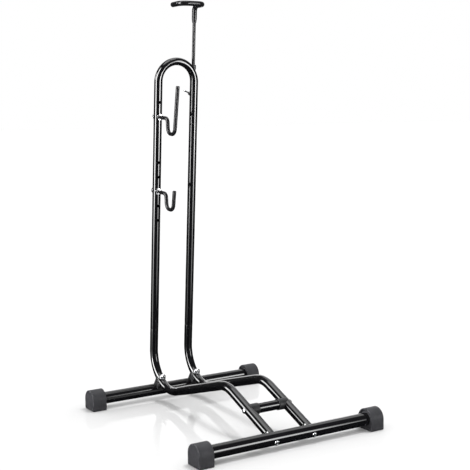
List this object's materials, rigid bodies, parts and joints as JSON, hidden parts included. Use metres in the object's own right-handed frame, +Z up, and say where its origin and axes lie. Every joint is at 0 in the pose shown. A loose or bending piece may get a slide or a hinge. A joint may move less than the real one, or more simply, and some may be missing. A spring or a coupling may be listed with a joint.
{
  "type": "bike rack",
  "caption": "Free-standing floor rack for a bicycle: bent tube wheel slot on cross tubes with feet, upright U loop, J hooks and a telescopic top hook.",
  "frame": {"origin": "on the floor, at the centre of the bounding box", "axes": "+Z up, -Y the side that the wheel rolls in from, +X to the right when seen from there"},
  "size_m": [0.5274, 0.6132, 1.0747],
  "materials": {
    "tube_black": "gloss powder coat",
    "rod_black": "semi-gloss powder coat",
    "feet": "matt, finely lined",
    "moulded_black": "satin",
    "hook_sleeves": "matt soft coating",
    "cap_nut_black": "satin",
    "zinc": "bright plated"
  },
  "bodies": {
    "stand": {"rear_cross_tube": "tube_black", "front_cross_tube": "tube_black", "foot_rear_left": "feet", "foot_rear_right": "feet", "foot_front_left": "feet", "foot_front_right": "feet", "side_tube_left": "tube_black", "side_tube_right": "tube_black", "rear_saddle_left": "moulded_black", "rear_saddle_right": "moulded_black", "rear_bolt_left": "zinc", "rear_bolt_right": "zinc", "rear_washer_left": "zinc", "rear_washer_right": "zinc", "rear_cap_nut_left": "zinc", "rear_cap_nut_right": "zinc", "front_bolt_left": "zinc", "front_bolt_right": "zinc", "front_threaded_plug_left": "zinc", "front_threaded_plug_right": "zinc", "wheel_stop_bar": "tube_black", "stop_saddle_left": "moulded_black", "stop_saddle_right": "moulded_black", "stop_bar_bolt_left": "zinc", "stop_bar_bolt_right": "zinc", "stop_bar_threaded_plug_left": "zinc", "stop_bar_threaded_plug_right": "zinc", "upper_loop": "tube_black", "rod_guide_bush": "moulded_black", "clamp_boss": "tube_black"},
    "upper_hook": {"upper_hook_rod": "zinc", "upper_hook_sleeve": "hook_sleeves", "upper_hook_front_nut": "zinc", "upper_hook_front_washer": "zinc", "upper_hook_rear_washer": "zinc", "upper_hook_cap_nut": "cap_nut_black"},
    "lower_hook": {"lower_hook_rod": "zinc", "lower_hook_sleeve": "hook_sleeves", "lower_hook_front_nut": "zinc", "lower_hook_front_washer": "zinc", "lower_hook_rear_washer": "zinc", "lower_hook_cap_nut": "cap_nut_black"},
    "rod_slider": {"rod_slider": "moulded_black"},
    "top_rod": {"height_rod": "rod_black", "top_hook_core": "zinc", "top_hook_sleeve": "hook_sleeves"},
    "wing_screw": {"wing_screw": "zinc"}
  },
  "joints": [
    {"name": "upper_hook_swivel", "type": "hinge", "parent": "stand", "child": "upper_hook", "pos_m": [-0.0545, 0.24207, 0.77527], "axis": [0, 0.9965, 0.0837], "range_deg": [-180, 180]},
    {"name": "lower_hook_swivel", "type": "hinge", "parent": "stand", "child": "lower_hook", "pos_m": [-0.0545, 0.25877, 0.57637], "axis": [0, 0.9965, 0.0837], "range_deg": [-180, 180]},
    {"name": "rod_height", "type": "slide", "parent": "stand", "child": "rod_slider", "axis": [0, -0.0837, 0.9965], "range_m": [-0.105, 0.18]},
    {"name": "top_hook_swing", "type": "hinge", "parent": "rod_slider", "child": "top_rod", "pos_m": [0.0523, 0.25916, 0.59808], "axis": [0, -0.0837, 0.9965], "continuous": true},
    {"name": "wing_screw_turn", "type": "hinge", "parent": "stand", "child": "wing_screw", "pos_m": [0.0545, 0.23697, 0.83606], "axis": [0, 0.9965, 0.0837], "range_deg": [0, 360]}
  ]
}
